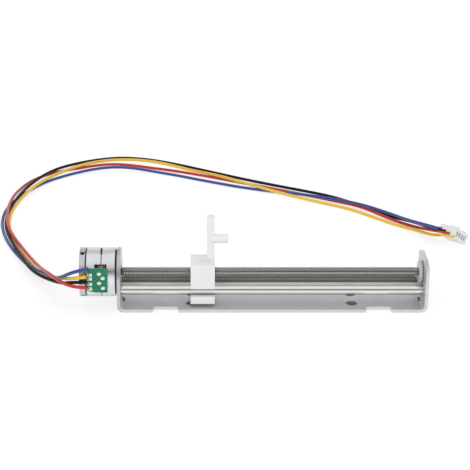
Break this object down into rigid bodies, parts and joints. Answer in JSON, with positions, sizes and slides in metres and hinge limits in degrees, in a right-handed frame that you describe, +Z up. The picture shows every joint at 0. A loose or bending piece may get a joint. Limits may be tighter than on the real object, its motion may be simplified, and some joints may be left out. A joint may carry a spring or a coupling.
{
  "type": "stepper motor linear slide",
  "caption": "Small can stack stepper motor on a folded steel bracket, turning a lead screw that moves a white carriage along guide rods, with flying leads to a white plug.",
  "frame": {"origin": "centre of the underside of the bracket's base", "axes": "+X along the lead screw away from the motor, +Z up, -Y towards the circuit board side"},
  "size_m": [0.1604, 0.1447, 0.0288],
  "materials": {
    "galvanised_sheet": "cold galvanised sheet, satin, fine rolling grain",
    "screw_steel": "dark rolled steel thread, lightly oiled",
    "rotor_hub_resin": "moulded resin hub",
    "black_ferrite": "black ferrite ring",
    "guide_rod_front_steel": "ground and polished",
    "guide_rod_rear_steel": "ground and polished",
    "end_bearing_nylon": "white moulded bush",
    "front_bearing_bronze": "sintered bush",
    "rear_bearing_bronze": "sintered bush",
    "thrust_washer_front_bronze": "flat washer",
    "thrust_washer_rear_bronze": "flat washer",
    "stator_cup_front_zinc": "bright zinc plate with a faint violet and green sheen",
    "stator_cup_rear_zinc": "bright zinc plate with a faint violet and green sheen",
    "pole_plate_front_iron": "stamped soft iron",
    "pole_plate_rear_iron": "stamped soft iron",
    "bobbin_front_plastic": "reddish brown moulded plastic",
    "bobbin_rear_plastic": "reddish brown moulded plastic",
    "coil_front_copper": "enamelled copper winding",
    "coil_rear_copper": "enamelled copper winding",
    "motor_flange_zinc": "bright zinc plate",
    "rear_cover_zinc": "bright zinc plate",
    "terminal_block_plastic": "reddish brown moulded plastic",
    "board_green": "green solder mask over glass board",
    "terminal_pin_tin": "tinned wire",
    "solder": "bright solder",
    "contact_tin": "tinned contact",
    "carriage_acetal": "white moulded acetal, slightly translucent",
    "connector_nylon": "white moulded nylon, slightly translucent",
    "wire_blue_jacket": "soft plastic insulation",
    "wire_yellow_jacket": "soft plastic insulation",
    "wire_black_jacket": "soft plastic insulation",
    "wire_red_jacket": "soft plastic insulation"
  },
  "bodies": {
    "frame": {"bracket": "galvanised_sheet", "guide_rod_front": "guide_rod_front_steel", "guide_rod_rear": "guide_rod_rear_steel", "end_bearing": "end_bearing_nylon", "front_bearing": "front_bearing_bronze", "rear_bearing": "rear_bearing_bronze", "thrust_washer_front": "thrust_washer_front_bronze", "thrust_washer_rear": "thrust_washer_rear_bronze", "stator_cup_front": "stator_cup_front_zinc", "stator_cup_rear": "stator_cup_rear_zinc", "pole_plate_front": "pole_plate_front_iron", "pole_plate_rear": "pole_plate_rear_iron", "bobbin_front": "bobbin_front_plastic", "bobbin_rear": "bobbin_rear_plastic", "coil_front": "coil_front_copper", "coil_rear": "coil_rear_copper", "motor_flange": "motor_flange_zinc", "rear_cover": "rear_cover_zinc", "terminal_block": "terminal_block_plastic", "circuit_board": "board_green", "terminal_pin_1": "terminal_pin_tin", "terminal_pin_2": "terminal_pin_tin", "terminal_pin_3": "terminal_pin_tin", "terminal_pin_4": "terminal_pin_tin", "wire_joint_1": "solder", "wire_joint_2": "solder", "wire_joint_3": "solder", "wire_joint_4": "solder", "coil_joint_1": "solder", "coil_joint_2": "solder", "coil_joint_3": "solder", "coil_joint_4": "solder", "wire_blue": "wire_blue_jacket", "wire_yellow": "wire_yellow_jacket", "wire_black": "wire_black_jacket", "wire_red": "wire_red_jacket", "connector_housing": "connector_nylon", "contact_1": "contact_tin", "contact_2": "contact_tin", "contact_3": "contact_tin", "contact_4": "contact_tin"},
    "screw": {"lead_screw": "screw_steel", "rotor_hub": "rotor_hub_resin", "rotor_magnet": "black_ferrite"},
    "carriage": {"carriage": "carriage_acetal"}
  },
  "joints": [
    {"name": "screw_spin", "type": "hinge", "parent": "frame", "child": "screw", "pos_m": [0, 0, 0.01], "axis": [1, 0, 0], "range_deg": [-14690, 42915]},
    {"name": "carriage_slide", "type": "slide", "parent": "frame", "child": "carriage", "axis": [1, 0, 0], "range_m": [-0.0204, 0.0596]}
  ],
  "couplings": [
    {"joint": "screw_spin", "follows": "carriage_slide", "rad_per_m": 12566}
  ]
}
